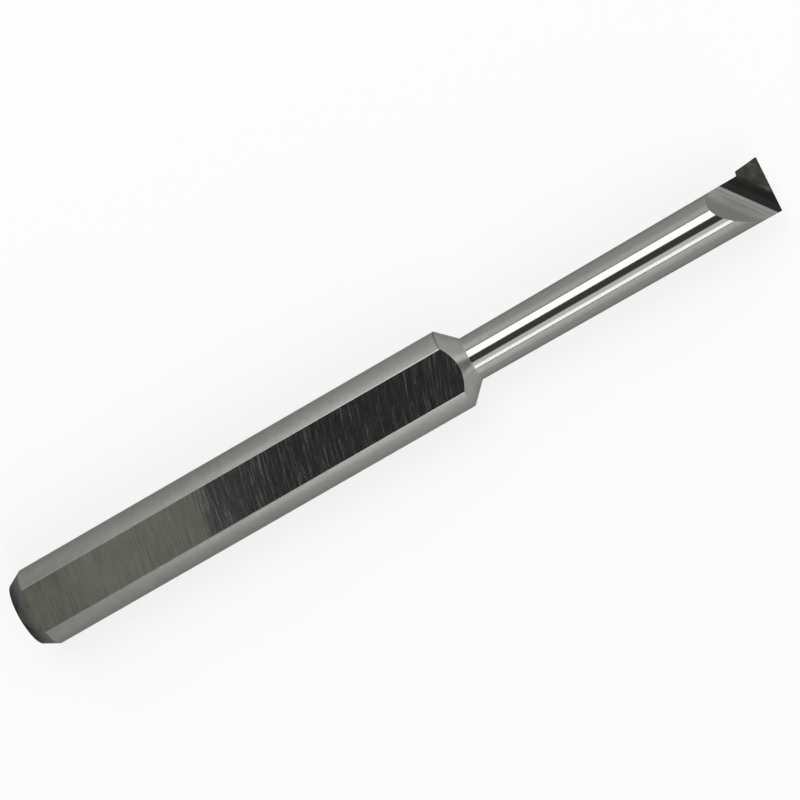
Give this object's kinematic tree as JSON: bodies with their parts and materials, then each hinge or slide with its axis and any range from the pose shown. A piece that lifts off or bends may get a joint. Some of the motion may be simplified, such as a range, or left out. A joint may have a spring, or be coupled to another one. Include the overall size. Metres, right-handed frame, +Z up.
{
  "type": "boring bar",
  "caption": "Slim solid carbide boring bar: round shank with a clamping flat, 45 degree shoulder, tapered neck and a ground cutting head with its tip to one side.",
  "frame": {"origin": "on the surface that the bar lies on, under the shank's axis and the middle of the bar's length", "axes": "+X along the bar from the rear end to the cutting head, +Y to the side of the cutting tip, +Z up, out of the clamping flat and the rake face"},
  "size_m": [0.0642, 0.0064, 0.0058],
  "materials": {
    "ground_carbide": "ground solid carbide, grey, with a polished neck"
  },
  "bodies": {
    "root": {"boring_bar": "ground_carbide"}
  },
  "joints": []
}
